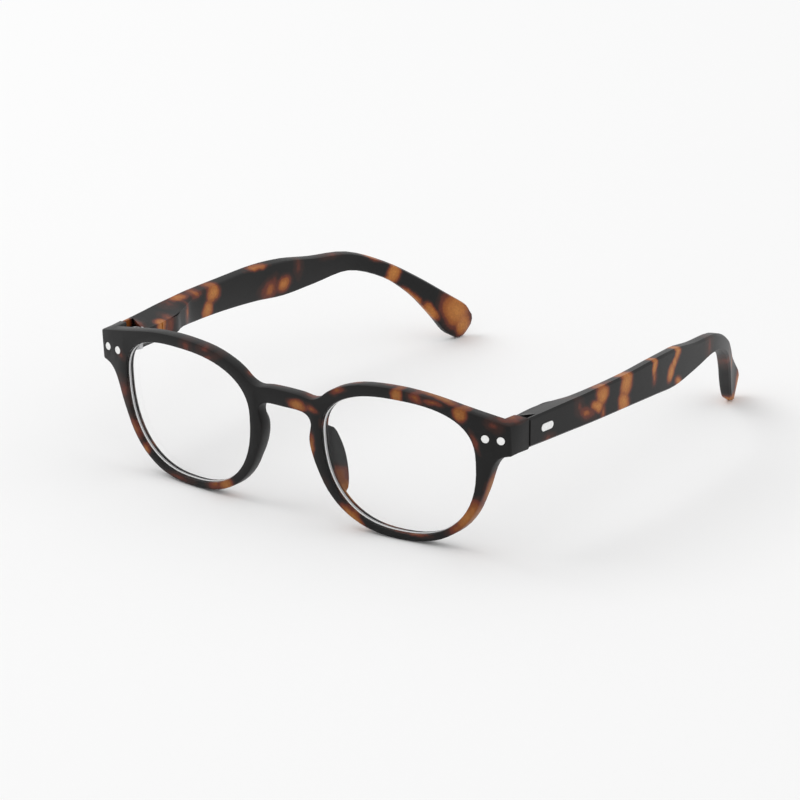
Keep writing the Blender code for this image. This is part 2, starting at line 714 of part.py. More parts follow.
def temple_section(place, before, after):
    """A rounded cross-section that stands square to the temple's run."""
    x, y, z, height, thick = place
    run = Vector(after[:3]) - Vector(before[:3])
    run.normalize()
    inward = Vector((-run.y, run.x, 0.0)).normalized()
    up = run.cross(inward).normalized()
    if up.z < 0:
        up.negate()
    centre = Vector((x, y, z))
    edge = min(TEMPLE_EDGE, thick * TEMPLE_EDGE_SHARE)
    half = height / 2
    corner = edge * (1 - math.sqrt(0.5))
    outer = edge * OUTER_EDGE_SHARE
    outline = [
        (outer, -half), (0.0, -half + outer), (0.0, half - outer), (outer, half),
        (thick - edge, half), (thick - corner, half - corner), (thick, half - edge),
        (thick, -half + edge), (thick - corner, -half + corner), (thick - edge, -half),
    ]
    return [centre + inward * a + up * b for a, b in outline]


def build_temple():
    places = temple_places()
    rings = []
    for i, place in enumerate(places):
        before = places[max(i - 1, 0)]
        after = places[min(i + 1, len(places) - 1)]
        if i == 0:
            after = (place[0], place[1] + 1.0, place[2])
            before = place
        rings.append(temple_section(place, before, after))
    last, previous = Vector(places[-1][:3]), Vector(places[-2][:3])
    run = (last - previous).normalized()
    middle = sum((Vector(p) for p in rings[-1]), Vector()) / len(rings[-1])
    half = places[-1][3] / 2
    base = rings[-1]
    for k in range(1, TIP_STEPS + 1):
        turn = math.pi / 2 * k / (TIP_STEPS + 0.35)
        shrink, advance = math.cos(turn), half * TIP_LENGTH * math.sin(turn)
        rings.append([middle + (Vector(p) - middle) * shrink + run * advance for p in base])

    def build(bm):
        loft(bm, rings)
    temple = new_object("temple_left", build)
    skin_x = places[0][0] - SKIN_THICKNESS
    ahead = -WRAP_END
    pocket = [(skin_x, ahead), (skin_x, POCKET_BACK),
              (POCKET_INNER, POCKET_BACK - POCKET_SLANT * (skin_x - POCKET_INNER)),
              (POCKET_INNER, ahead)]
    cut(temple, prism("pocket", pocket, AXIS_Z - POCKET_HALF_HEIGHT, AXIS_Z + POCKET_HALF_HEIGHT))
    cut(temple, mechanism_hollow())
    return temple


def mechanism_hollow():
    """The room inside the temple for the knuckles, the arms at full fold and the housing."""
    reach = KNUCKLE_TOP + SEAT_GAP
    side = HOUSING_HALF_WIDTH + SEAT_GAP * 0.8
    hollow = turned("hollow", [(-reach, KNUCKLE_RADIUS + SEAT_GAP), (reach, KNUCKLE_RADIUS + SEAT_GAP)],
                    (AXIS_X, AXIS_Y, AXIS_Z))
    join(hollow, box("arm_room", (AXIS_X - ARM_ROOM[0], AXIS_Y - ARM_ROOM[1], AXIS_Z - reach),
                     (AXIS_X, AXIS_Y + ARM_HALF_WIDTH + SEAT_GAP, AXIS_Z + reach)))
    tall = HOUSING_HALF_HEIGHT + SEAT_GAP * 0.8
    join(hollow, box("housing_room", (AXIS_X - side, AXIS_Y - 1.0, AXIS_Z - tall),
                     (AXIS_X + side, AXIS_Y + HOUSING_END + SEAT_GAP, AXIS_Z + tall)))
    return hollow


def capsule(half_length, half_height, steps=10):
    """A pill outline about (0, 0)."""
    straight = half_length - half_height
    outline = []
    for sign in (1, -1):
        for k in range(steps + 1):
            angle = sign * math.pi / 2 - math.pi * k / steps
            outline.append((sign * straight + half_height * math.cos(angle),
                            half_height * math.sin(angle)))
    return outline


def outer_face_at(y):
    """The x of the left temple's outer face at y, and its outward slope along the temple."""
    places = temple_places()
    for a, b in zip(places, places[1:]):
        if a[1] <= y <= b[1]:
            slope = (b[0] - a[0]) / (b[1] - a[1])
            return a[0] + slope * (y - a[1]), slope
    return places[0][0], 0.0


def inlay_solid(name, widen, proud):
    """The plain inlay in the left temple's outer face."""
    outline = capsule(INLAY_HALF_LENGTH + widen, INLAY_HALF_HEIGHT + widen)
    face_x, slope = outer_face_at(INLAY_Y)

    def build(bm):
        loft(bm, [[(x, a, b) for a, b in outline] for x in (-INLAY_DEPTH - widen, proud)])
    solid = new_object(name, build)
    turn = Matrix.Rotation(-math.atan(slope), 4, "Z")
    solid.data.transform(Matrix.Translation((face_x, INLAY_Y, AXIS_Z)) @ turn)
    return solid


# ---------------------------------------------------------------- assembly

def main():
    clear_scene()
    tortoise = material("tortoise_front", (0.055, 0.048, 0.045), 0.42)
    tortoise_left = material("tortoise_left", (0.06, 0.05, 0.045), 0.42)
    tortoise_right = material("tortoise_right", (0.06, 0.05, 0.045), 0.42)
    clear = material("clear_lens", (0.92, 0.95, 0.95), 0.03, 0.0, 0.3)
    silver = material("bright_metal", (0.86, 0.86, 0.85), 0.22, 1.0)
    steel = material("hinge_steel", (0.55, 0.55, 0.56), 0.3, 1.0)
    spring_steel = material("spring_steel", (0.45, 0.45, 0.47), 0.28, 1.0)
    nylon = material("bush_nylon", (0.82, 0.8, 0.74), 0.5)

    front = build_front()
    temple = build_temple()
    middle = depth_middle((front, temple))
    finish(front, tortoise, middle)
    for side, hand in ((1, "left"), (-1, "right")):
        finish(build_lens("lens_" + hand, side), clear, middle, smooth_angle=25)
        for place, rivet_x in (("inner", RIVET_INNER_X), ("outer", RIVET_INNER_X + RIVET_PITCH)):
            finish(rivet_solid("rivet_" + place + "_" + hand, side * rivet_x), silver, middle)

    plain = mirrored(temple, "temple_right")
    cut(temple, inlay_solid("inlay_seat", LENS_GAP, 2.0))
    inlay = inlay_solid("inlay_left", 0.0, INLAY_PROUD)
    axis_left = (AXIS_X, AXIS_Y, AXIS_Z)
    axis_right = (-AXIS_X, AXIS_Y, AXIS_Z)
    mechanism = ((build_leaf(), steel), (build_screw(), steel), (build_bush(), nylon),
                 (build_slider(), steel), (build_end_ring(), steel), (build_housing(), steel),
                 (build_spring(), spring_steel))
    for piece, look in mechanism:
        twin = mirrored(piece, piece.name.replace("_left", "_right"))
        finish(piece, look, middle, axis_left)
        finish(twin, look, middle, axis_right)
    finish(temple, tortoise_left, middle, axis_left)
    finish(plain, tortoise_right, middle, axis_right)
    finish(inlay, silver, middle, axis_left)


main()
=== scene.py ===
"""Looks, light and camera for the folding reading glasses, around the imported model.

+X is the wearer's left, the front faces -Y, +Z is up. Spots and offsets are in millimetres.
"""

import math

import bmesh
import bpy
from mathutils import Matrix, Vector

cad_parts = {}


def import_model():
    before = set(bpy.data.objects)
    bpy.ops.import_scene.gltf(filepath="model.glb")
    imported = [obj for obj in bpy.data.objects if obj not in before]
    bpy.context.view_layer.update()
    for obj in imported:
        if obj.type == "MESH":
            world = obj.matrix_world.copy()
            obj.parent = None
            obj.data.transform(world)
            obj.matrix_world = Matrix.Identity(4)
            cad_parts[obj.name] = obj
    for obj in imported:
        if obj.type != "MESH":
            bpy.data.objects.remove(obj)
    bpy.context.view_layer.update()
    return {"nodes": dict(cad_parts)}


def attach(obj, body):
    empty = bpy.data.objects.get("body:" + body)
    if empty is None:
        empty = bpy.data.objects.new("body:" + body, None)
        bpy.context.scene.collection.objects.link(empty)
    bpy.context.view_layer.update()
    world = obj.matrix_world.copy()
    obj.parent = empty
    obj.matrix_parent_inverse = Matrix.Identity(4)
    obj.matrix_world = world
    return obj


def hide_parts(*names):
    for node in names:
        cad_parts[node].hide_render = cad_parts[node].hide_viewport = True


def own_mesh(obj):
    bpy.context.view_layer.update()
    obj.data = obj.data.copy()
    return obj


MM = 0.001

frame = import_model()
nodes = frame["nodes"]


# ---------------------------------------------------------------- node helpers

class Tree:
    """A material's node tree with short ways to add and join nodes."""

    def __init__(self, name):
        self.material = bpy.data.materials.new(name)
        self.material.use_nodes = True
        self.nodes = self.material.node_tree.nodes
        self.links = self.material.node_tree.links
        self.shader = self.nodes["Principled BSDF"]
        self.output = self.nodes["Material Output"]
        coordinates = self.nodes.new("ShaderNodeTexCoord")
        self.place = self.vector("SCALE", coordinates.outputs["Object"], scale=1000.0)

    def node(self, kind, **settings):
        made = self.nodes.new(kind)
        for key, value in settings.items():
            setattr(made, key, value)
        return made

    def join(self, source, target):
        self.links.new(source, target)

    def put(self, socket, value):
        if isinstance(value, bpy.types.NodeSocket):
            self.join(value, socket)
        else:
            socket.default_value = value

    def vector(self, operation, a, b=None, scale=None):
        made = self.node("ShaderNodeVectorMath", operation=operation)
        self.put(made.inputs[0], a)
        if b is not None:
            self.put(made.inputs[1], b)
        if scale is not None:
            self.put(made.inputs["Scale"], scale)
        return made.outputs["Value" if operation == "LENGTH" else "Vector"]

    def math(self, operation, a, b=0.0, c=0.0):
        made = self.node("ShaderNodeMath", operation=operation)
        self.put(made.inputs[0], a)
        self.put(made.inputs[1], b)
        self.put(made.inputs[2], c)
        return made.outputs[0]

    def noise(self, scale, detail=2.0, place=None, colour=False):
        made = self.node("ShaderNodeTexNoise")
        self.join(self.place if place is None else place, made.inputs["Vector"])
        made.inputs["Scale"].default_value = scale
        made.inputs["Detail"].default_value = detail
        return made.outputs["Color" if colour else "Fac"]

    def ramp(self, factor, stops, interpolation="LINEAR"):
        made = self.node("ShaderNodeValToRGB")
        made.color_ramp.interpolation = interpolation
        elements = made.color_ramp.elements
        while len(elements) < len(stops):
            elements.new(0.5)
        for element, (position, colour) in zip(elements, stops):
            element.position = position
            element.color = (*colour, 1.0)
        self.join(factor, made.inputs["Fac"])
        return made.outputs["Color"]

    def map_range(self, value, low, high, new_low, new_high):
        made = self.node("ShaderNodeMapRange")
        self.join(value, made.inputs["Value"])
        ends = {"From Min": low, "From Max": high, "To Min": new_low, "To Max": new_high}
        for name, number in ends.items():
            made.inputs[name].default_value = number
        return made.outputs["Result"]

    def bump(self, height, strength, distance, normal=None):
        made = self.node("ShaderNodeBump")
        made.inputs["Strength"].default_value = strength
        made.inputs["Distance"].default_value = distance
        self.join(height, made.inputs["Height"])
        if normal is not None:
            self.join(normal, made.inputs["Normal"])
        return made.outputs["Normal"]


# ---------------------------------------------------------------- soft-touch tortoise plastic

# Kinds of spot: gain and start of its distance field, which sets how amber its middle gets
SPOT_KINDS = {"amber": (1.0, 0.0), "tan": (0.75, 0.28), "rust": (0.42, 0.66), "faint": (0.22, 0.92)}

BLACK = (0.0045, 0.0043, 0.0043)
RUST_DARK = (0.024, 0.0085, 0.006)
RUST = (0.115, 0.022, 0.010)
ORANGE = (0.29, 0.080, 0.014)
AMBER = (0.41, 0.142, 0.028)
HONEY = (0.47, 0.185, 0.038)


BROAD_DRIFT = (0.21, 2.0)  # noise scale, and how far it pulls the spots' edges, in mm
FINE_DRIFT = (0.75, 0.5)
SPOT_MERGE = 0.18          # how softly neighbouring spots run together
MOTTLE = 0.16              # cloudiness of the spots' distance field, end to end
FIELD_TO_RAMP = 0.6


def drift(tree, scale, reach):
    """Noise that moves a place about by up to half of reach, in mm."""
    centred = tree.vector("SUBTRACT", tree.noise(scale, 2.0, colour=True), (0.5, 0.5, 0.5))
    return tree.vector("SCALE", centred, scale=reach)


def tortoise(name, spots, tilt_axis, shine, amber):
    """Near-black plastic with soft-edged spots that run right through it; amber dims their middles."""
    tree = Tree(name)
    drifts = tree.vector("ADD", drift(tree, *BROAD_DRIFT), drift(tree, *FINE_DRIFT))
    place = tree.vector("ADD", tree.place, drifts)
    field = None
    for kind, centre, radii, tilt in spots:
        gain, start = SPOT_KINDS[kind]
        turned = tree.node("ShaderNodeMapping", vector_type="TEXTURE")
        tree.join(place, turned.inputs["Vector"])
        turned.inputs["Location"].default_value = centre
        turned.inputs["Rotation"].default_value = [math.radians(tilt) * a for a in tilt_axis]
        turned.inputs["Scale"].default_value = radii
        reach = tree.vector("LENGTH", turned.outputs["Vector"])
        distance = tree.math("MULTIPLY_ADD", reach, gain, start)
        field = distance if field is None else tree.math("SMOOTH_MIN", field, distance, SPOT_MERGE)
    mottle = tree.math("MULTIPLY_ADD", tree.noise(0.5, 2.0), MOTTLE, -MOTTLE / 2)
    field = tree.math("ADD", field, mottle)
    depth = tree.math("MULTIPLY", field, FIELD_TO_RAMP)
    warm = [(at, [c * amber for c in colour]) for at, colour in ((0.0, HONEY), (0.26, AMBER), (0.42, ORANGE))]
    dark = [(0.54, RUST), (0.66, RUST_DARK), (0.78, BLACK)]
    colour = tree.ramp(depth, warm + dark, "EASE")
    haze = tree.map_range(tree.noise(1.6, 4.0), 0.3, 0.7, 0.82, 1.12)
    tint = tree.node("ShaderNodeHueSaturation")
    tree.join(colour, tint.inputs["Color"])
    tree.join(haze, tint.inputs["Value"])
    tree.join(tint.outputs["Color"], tree.shader.inputs["Base Color"])
    tree.join(tree.map_range(tree.noise(3.0, 3.0), 0.3, 0.7, 0.40, 0.48), tree.shader.inputs["Roughness"])
    tree.shader.inputs["Specular IOR Level"].default_value = shine
    grain = tree.bump(tree.noise(14.0, 3.0), 0.10, 0.00003)
    swell = tree.bump(tree.noise(0.9, 2.0), 0.05, 0.0001, grain)
    tree.join(swell, tree.shader.inputs["Normal"])
    return tree.material


THROUGH = 9.0              # radius of a spot that runs from face to face

# Each spot: kind, centre, radii, tilt in degrees
front_spots = (
    # wearer's left rim
    ("amber", (37.6, -78.0, 43.4), (1.9, THROUGH, 2.6), 12),
    ("rust", (43.4, -77.8, 43.2), (2.4, THROUGH, 1.7), 20),
    ("rust", (48.4, -77.0, 43.0), (3.2, 3.0, 1.1), 6),
    ("amber", (47.0, -74.0, 44.6), (9.5, 2.3, 1.6), 10),
    ("amber", (56.4, -75.0, 40.9), (2.2, THROUGH, 2.4), -20),
    ("rust", (18.8, -79.0, 41.3), (2.4, 4.0, 1.2), -25),
    ("rust", (24.0, -76.5, 43.9), (4.0, 1.6, 0.9), -25),
    ("rust", (34.0, -75.4, 45.2), (3.6, 1.7, 0.9), 0),
    ("faint", (65.4, -72.0, 38.6), (2.4, 4.0, 1.6), 15),
    ("rust", (67.0, -67.0, 39.9), (3.4, 5.0, 0.9), 10),
    ("amber", (57.0, -72.5, 10.4), (6.6, THROUGH, 2.3), -58),
    ("rust", (53.4, -72.8, 6.3), (3.0, THROUGH, 2.0), -40),
    ("amber", (62.4, -68.6, 19.0), (2.2, 2.9, 6.2), 18),
    ("amber", (21.6, -76.0, 3.6), (5.0, THROUGH, 1.8), 38),
    ("amber", (17.2, -73.2, 9.4), (2.4, 3.0, 5.0), -40),
    ("tan", (9.0, -77.0, 22.6), (1.1, THROUGH, 4.2), 4),
    ("rust", (12.4, -76.4, 30.4), (0.9, 2.4, 2.0), 0),
    ("rust", (59.7, -72.6, 33.6), (0.9, 2.2, 3.4), -20),
    ("tan", (38.0, -73.6, 2.8), (7.0, 1.6, 1.0), 0),
    # bridge
    ("amber", (4.9, -78.5, 34.1), (3.2, THROUGH, 1.9), 8),
    ("rust", (9.4, -79.0, 34.1), (2.3, 4.5, 1.1), 15),
    ("rust", (8.2, -76.4, 37.3), (3.2, 2.6, 1.2), 10),
    ("rust", (-4.2, -76.0, 37.8), (4.0, 1.8, 0.8), 0),
    # wearer's right rim
    ("faint", (-34.4, -78.7, 43.0), (2.0, 4.0, 2.2), 0),
    ("faint", (-27.4, -78.8, 43.8), (2.6, 4.0, 1.4), -15),
    ("faint", (-27.0, -79.0, 41.4), (5.4, 4.0, 1.1), -18),
    ("rust", (-13.4, -75.4, 38.8), (1.5, 2.2, 3.4), 48),
    ("faint", (-61.6, -72.4, 22.5), (2.6, 5.0, 4.0), -18),
    ("rust", (-57.6, -72.4, 12.2), (4.2, THROUGH, 2.0), 55),
    ("tan", (-53.6, -72.6, 7.0), (2.0, THROUGH, 1.3), 45),
    ("faint", (-41.0, -74.4, 1.2), (5.0, 4.0, 1.2), 0),
    ("amber", (-22.4, -75.8, 3.6), (3.0, THROUGH, 2.6), -18),
    ("rust", (-26.4, -75.8, 2.7), (3.2, THROUGH, 1.8), -14),
    ("faint", (-61.6, -73.3, 33.6), (1.6, 4.0, 1.4), 0),
    # behind the face, where only the back shows them
    ("amber", (-47.0, -70.4, 42.6), (5.5, 2.2, 2.2), -14),
    ("rust", (31.0, -71.8, 1.8), (6.0, 1.8, 1.6), 0),
    ("amber", (12.6, -70.6, 13.0), (3.6, 6.0, 4.6), -30),
    ("tan", (-11.6, -70.4, 11.2), (2.2, 4.0, 2.6), 30),
)

left_spots = (
    ("rust", (72.0, -37.2, 33.4), (THROUGH, 4.2, 1.9), -18),
    ("faint", (72.0, -40.4, 36.4), (THROUGH, 1.8, 2.8), 20),
    ("amber", (72.0, -29.8, 36.4), (THROUGH, 3.3, 3.2), -12),
    ("amber", (72.0, -32.4, 34.2), (THROUGH, 3.4, 1.9), -25),
    ("rust", (72.0, -29.4, 31.6), (THROUGH, 1.3, 3.2), 0),
    ("amber", (71.0, -28.6, 39.4), (2.8, 4.4, 1.2), 0),
    ("amber", (72.0, -17.6, 36.6), (THROUGH, 3.3, 4.6), -14),
    ("amber", (72.0, -19.0, 31.6), (THROUGH, 3.0, 3.6), 8),
    ("amber", (71.6, -2.4, 37.4), (THROUGH, 1.8, 3.4), -8),
    ("rust", (71.6, -2.4, 33.8), (THROUGH, 1.6, 2.6), 0),
    ("amber", (71.0, 11.8, 36.8), (THROUGH, 2.2, 3.4), -25),
    ("amber", (71.0, 9.6, 34.6), (THROUGH, 1.8, 2.4), -30),
    ("amber", (71.0, 7.4, 32.2), (THROUGH, 2.2, 3.4), -38),
    ("tan", (70.4, 12.4, 27.8), (THROUGH, 2.8, 1.8), -30),
    ("rust", (68.0, 26.0, 37.0), (4.0, 3.4, 0.9), 0),
    ("faint", (67.0, 33.4, 32.0), (THROUGH, 2.4, 4.0), 0),
    ("faint", (71.0, -54.2, 31.0), (4.0, 2.6, 1.4), 0),
    ("faint", (58.6, 57.6, 18.6), (5.0, 4.0, 4.5), 0),
    ("amber", (49.6, 79.4, 4.0), (7.0, 4.6, 5.4), -20),
    ("amber", (50.4, 73.6, 0.2), (8.0, 6.0, 3.0), -20),
    ("tan", (54.0, 67.0, 15.4), (1.2, 4.0, 3.2), 0),
)

right_spots = (
    ("tan", (-70.4, -60.4, 37.4), (1.6, 2.2, 5.0), 0),
    ("rust", (-65.6, -59.6, 38.8), (4.0, 2.2, 1.6), 0),
    ("amber", (-63.4, -52.8, 35.6), (2.4, 2.6, 4.6), 0),
    ("rust", (-64.4, -48.6, 35.6), (3.0, 2.4, 4.2), 0),
    ("rust", (-67.6, -41.4, 39.2), (4.4, 3.6, 1.3), 0),
    ("rust", (-68.0, -36.0, 34.6), (THROUGH, 1.6, 4.0), 0),
    ("rust", (-68.6, -29.4, 38.4), (THROUGH, 3.2, 1.5), 0),
    ("amber", (-68.6, -21.4, 36.6), (THROUGH, 3.6, 3.4), -14),
    ("amber", (-68.6, -24.2, 32.0), (THROUGH, 3.0, 3.6), -14),
    ("amber", (-68.4, -0.8, 39.6), (3.4, 6.4, 1.7), -4),
    ("tan", (-70.4, -36.0, 38.6), (2.4, 4.0, 1.2), 0),
    ("rust", (-67.4, 4.6, 30.6), (THROUGH, 4.4, 3.4), 20),
    ("tan", (-66.8, 10.4, 31.0), (THROUGH, 3.4, 2.6), 20),
    ("faint", (-66.0, 16.8, 35.0), (THROUGH, 1.8, 3.4), 0),
    ("faint", (-64.0, 32.0, 35.4), (5.0, 5.0, 1.3), 0),
    ("tan", (-61.6, 46.6, 31.4), (4.0, 5.0, 1.5), -35),
    ("amber", (-57.4, 52.8, 24.6), (6.0, 2.5, 4.8), -25),
    ("amber", (-54.6, 58.0, 16.0), (4.0, 6.6, 2.0), -45),
    ("amber", (-52.4, 64.4, 10.4), (4.0, 4.4, 1.9), -52),
    ("amber", (-48.4, 72.6, 9.4), (6.0, 5.2, 7.6), 38),
    ("amber", (-48.0, 75.4, 4.2), (6.0, 3.6, 4.4), 30),
)

plastic = {
    "front_frame": tortoise("soft_tortoise_front", front_spots, (0, 1, 0), 0.24, 0.66),
    "temple_left": tortoise("soft_tortoise_left", left_spots, (1, 0, 0), 0.28, 1.0),
    "temple_right": tortoise("soft_tortoise_right", right_spots, (1, 0, 0), 0.28, 1.0),
}


# ---------------------------------------------------------------- metals, nylon and glass

def metal(name, colour, roughness, brush, stretch):
    """Satin metal with fine drawn lines along one direction."""
    tree = Tree(name)
    lines = tree.vector("MULTIPLY", tree.place, stretch)
    marks = tree.noise(brush, 4.0, place=lines)
    wear = tree.noise(1.2, 3.0)
    shade = tree.map_range(wear, 0.3, 0.7, 0.86, 1.0)
    tint = tree.node("ShaderNodeHueSaturation")
    tint.inputs["Color"].default_value = (*colour, 1.0)
    tree.join(shade, tint.inputs["Value"])
    tree.join(tint.outputs["Color"], tree.shader.inputs["Base Color"])
    tree.shader.inputs["Metallic"].default_value = 1.0
    rough = tree.map_range(marks, 0.3, 0.7, roughness - 0.06, roughness + 0.08)
    tree.join(rough, tree.shader.inputs["Roughness"])
    tree.join(tree.bump(marks, 0.12, 0.00002), tree.shader.inputs["Normal"])
    return tree.material


def nylon():
    """Natural nylon, slightly cloudy."""
    tree = Tree("natural_nylon")
    cloud = tree.noise(1.5, 3.0)
    colour = tree.ramp(cloud, ((0.3, (0.66, 0.63, 0.54)), (0.7, (0.78, 0.76, 0.68))))
    tree.join(colour, tree.shader.inputs["Base Color"])
    tree.join(tree.map_range(cloud, 0.3, 0.7, 0.42, 0.55), tree.shader.inputs["Roughness"])
    tree.shader.inputs["Subsurface Weight"].default_value = 0.15
    tree.shader.inputs["Subsurface Radius"].default_value = (0.0005, 0.0005, 0.0004)
    return tree.material


def clear_plastic():
    """Lens plastic that lets lamps through and barely bends what is behind it."""
    tree = Tree("clear_lens_plastic")
    shader = tree.shader
    shader.inputs["Base Color"].default_value = (1.0, 1.0, 1.0, 1.0)
    shader.inputs["Transmission Weight"].default_value = 1.0
    shader.inputs["IOR"].default_value = 1.06
    shader.inputs["Coat Weight"].default_value = 0.35
    shader.inputs["Coat Roughness"].default_value = 0.03
    smear = tree.noise(0.35, 3.0)
    tree.join(tree.map_range(smear, 0.35, 0.75, 0.0, 0.012), shader.inputs["Roughness"])
    light = tree.node("ShaderNodeLightPath")
    passes = tree.math("MAXIMUM", light.outputs["Is Shadow Ray"], light.outputs["Is Diffuse Ray"])
    through = tree.node("ShaderNodeBsdfTransparent")
    through.inputs["Color"].default_value = (0.97, 0.97, 0.97, 1.0)
    mixed = tree.node("ShaderNodeMixShader")
    tree.join(passes, mixed.inputs["Fac"])
    tree.join(shader.outputs["BSDF"], mixed.inputs[1])
    tree.join(through.outputs["BSDF"], mixed.inputs[2])
    tree.join(mixed.outputs["Shader"], tree.output.inputs["Surface"])
    return tree.material


def edge_grey_and_glint(name, tone):
    """One band of a lens's edge in one tone of grey; on the bevel band the near-white tone is a painted
    highlight for light caught along the bevel.
    """
    tree = Tree(name)
    grain = tree.noise(9.0, 3.0)
    dull = (tone * 0.9, tone * 0.91, tone * 0.92)
    colour = tree.ramp(grain, ((0.3, dull), (0.7, (tone, tone, tone))))
    tree.join(colour, tree.shader.inputs["Base Color"])
    tree.join(tree.map_range(grain, 0.3, 0.7, 0.25, 0.4), tree.shader.inputs["Roughness"])
    tree.join(tree.bump(grain, 0.1, 0.00002), tree.shader.inputs["Normal"])
    return tree.material


bright = metal("bright_metal_finish", (0.93, 0.93, 0.92), 0.30, 2.5, (1.0, 1.0, 6.0))
steel = metal("hinge_steel_finish", (0.56, 0.56, 0.57), 0.32, 2.0, (1.0, 1.0, 7.0))
wire = metal("spring_wire_finish", (0.47, 0.47, 0.49), 0.26, 3.0, (4.0, 1.0, 4.0))
bush = nylon()
glass = clear_plastic()


def wear(node, material):
    """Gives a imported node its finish."""
    for slot in nodes[node].material_slots:
        slot.material = material


for name in nodes:
    if name in plastic:
        wear(name, plastic[name])
    elif name.startswith("lens"):
        wear(name, glass)
    elif name.startswith(("rivet", "inlay")):
        wear(name, bright)
    elif name.startswith("hinge_spring"):
        wear(name, wire)
    elif name.startswith("hinge_bush"):
        wear(name, bush)
    else:
        wear(name, steel)


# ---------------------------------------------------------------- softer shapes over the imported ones

def between(value, low, high):
    """0 below low, 1 above high, eased in between."""
    t = min(1.0, max(0.0, (value - low) / (high - low)))
    return t * t * (3.0 - 2.0 * t)


def along(table, value):
    """Straight-line reading of a table of (place, amount)."""
    for (a, p), (b, q) in zip(table, table[1:]):
        if value <= b:
            return p + (q - p) * max(0.0, (value - a) / (b - a))
    return table[-1][1]


def merged(source):
    """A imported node's points in mm, without doubles, and its faces."""
    mesh = nodes[source].data
    found, points, order = {}, [], []
    for vertex in mesh.vertices:
        key = tuple(round(c * 1e6) for c in vertex.co)
        if key not in found:
            found[key] = len(points)
            points.append(vertex.co / MM)
        order.append(found[key])
    faces = []
    for polygon in mesh.polygons:
        face = [order[i] for i in polygon.vertices]
        if len(set(face)) == len(face):
            faces.append(face)
    return points, faces


SKIN_ANGLE = 38            # edges sharper than this stay crisp, in degrees


def solid(name, points, faces, material, angle, fresh=False):
    """A closed piece from points in mm; a fresh one has its faces turned outwards first."""
    mesh = bpy.data.meshes.new(name)
    mesh.from_pydata([Vector(p) * MM for p in points], [], faces)
    if fresh:
        bm = bmesh.new()
        bm.from_mesh(mesh)
        bmesh.ops.recalc_face_normals(bm, faces=bm.faces)
        bm.to_mesh(mesh)
        bm.free()
    mesh.materials.append(material)
    mesh.polygons.foreach_set("use_smooth", [True] * len(mesh.polygons))
    mesh.set_sharp_from_angle(angle=math.radians(angle))
    made = bpy.data.objects.new(name, mesh)
    bpy.context.scene.collection.objects.link(made)
    return made


SIDES = ((1, "left"), (-1, "right"))

# The temple's outer and inner face: (y, x) on the wearer's left
TEMPLE_SKIN = ((-62.0, 70.6), (-53.2, 71.2), (-45.2, 71.8), (-38.2, 72.2), (-30.2, 72.5), (-15.2, 72.4),
               (0.0, 71.7), (12.0, 70.4), (24.0, 68.8))
TEMPLE_INNER = ((-62.0, 62.4), (-57.6, 62.6), (-50.5, 63.15), (-44.7, 64.12), (-39.7, 65.66), (-34.5, 67.37),
                (-30.2, 68.3))
TEMPLE_MIDDLE = 34.55      # height of the hinge block's middle
SLOPED_FROM = 2.45         # distance from that middle where the shape starts to change
ROUNDED_FROM = 2.7
SLOPE_END = 24.0
TOP_SLOPE = 0.17
FOOT_SLOPE = 0.10
FLAT_EDGE = 0.8            # strip beside the outer face that stays level
PACKED_EDGE = 0.9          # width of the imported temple's edge round
CORNER_IN = 1.9            # how far the block's inner edge moves outwards
CORNER_DOWN = 1.15
CORNER_BULGE = 0.5
FOOT_IN = 0.8
HOUSING_FACE = 63.2        # the plastic stays inside this x, which covers the housing
FRONT_CUT = 1.2            # how far the top's front inner corner moves back
SEAM_FRONT = -61.9         # the outer skin in front of this y closes up to the front
SEAM_SKIN = 69.0
SEAM_STEP = 0.26


def softened(point, side):
    """Top and foot of the temple sloping inwards, with a big round over the hinge block's inner edges."""
    x, y, z = point.x * side, point.y, point.z
    if x > SEAM_SKIN and y < SEAM_FRONT:
        y -= SEAM_STEP
    up = z > TEMPLE_MIDDLE
    rise = abs(z - TEMPLE_MIDDLE)
    if y < SLOPE_END and rise > SLOPED_FROM:
        wall = along(TEMPLE_INNER, y)
        block = 1.0 - between(y, -46.0, -30.0)
        deep = max(0.0, along(TEMPLE_SKIN, y) - x - FLAT_EDGE)
        share = min(1.0, max(0.0, (x - wall) / PACKED_EDGE))
        edge = block if x - wall < PACKED_EDGE + 0.2 and rise > ROUNDED_FROM else 0.0
        fade = between(rise, 2.4, 4.0) * (1.0 - between(y, 8.0, SLOPE_END))
        slope = (TOP_SLOPE if up else FOOT_SLOPE) * deep * fade
        foot = max(0.0, min(FOOT_IN, HOUSING_FACE - wall))
        bulge = CORNER_BULGE * (1.0 - abs(2.0 * share - 1.0))
        round_in = foot * (1.0 - share) + CORNER_IN * share + bulge
        round_down = (rise - SLOPED_FROM - 0.01) * (1.0 - share) * 0.9 + CORNER_DOWN * share
        rise -= slope * (1.0 - edge) + round_down * edge
        x += round_in * edge
        if up:
            y += edge * FRONT_CUT * (1.0 - between(y, -61.0, -54.0))
        z = TEMPLE_MIDDLE + rise if up else TEMPLE_MIDDLE - rise
    return Vector((x * side, y, z))


COVER_START = -52.4
COVER_STEP = 0.5
COVER_COLUMNS = 25
COVER_HEIGHTS = (32.1, 34.5, 36.98)
COVER_PROUD = 0.03         # inwards of the temple's face
COVER_THICK = 0.12
COVER_FACE = 63.28         # x where the cover stops following the temple's face, to stay over the housing


def cover_place(i):
    """(x, y) of a column of the cover's inner face."""
    y = COVER_START + COVER_STEP * i
    wall = along(TEMPLE_INNER, y)
    return wall - COVER_PROUD - max(0.0, wall - COVER_FACE) * (1.0 - between(y, -47.2, -40.8)), y


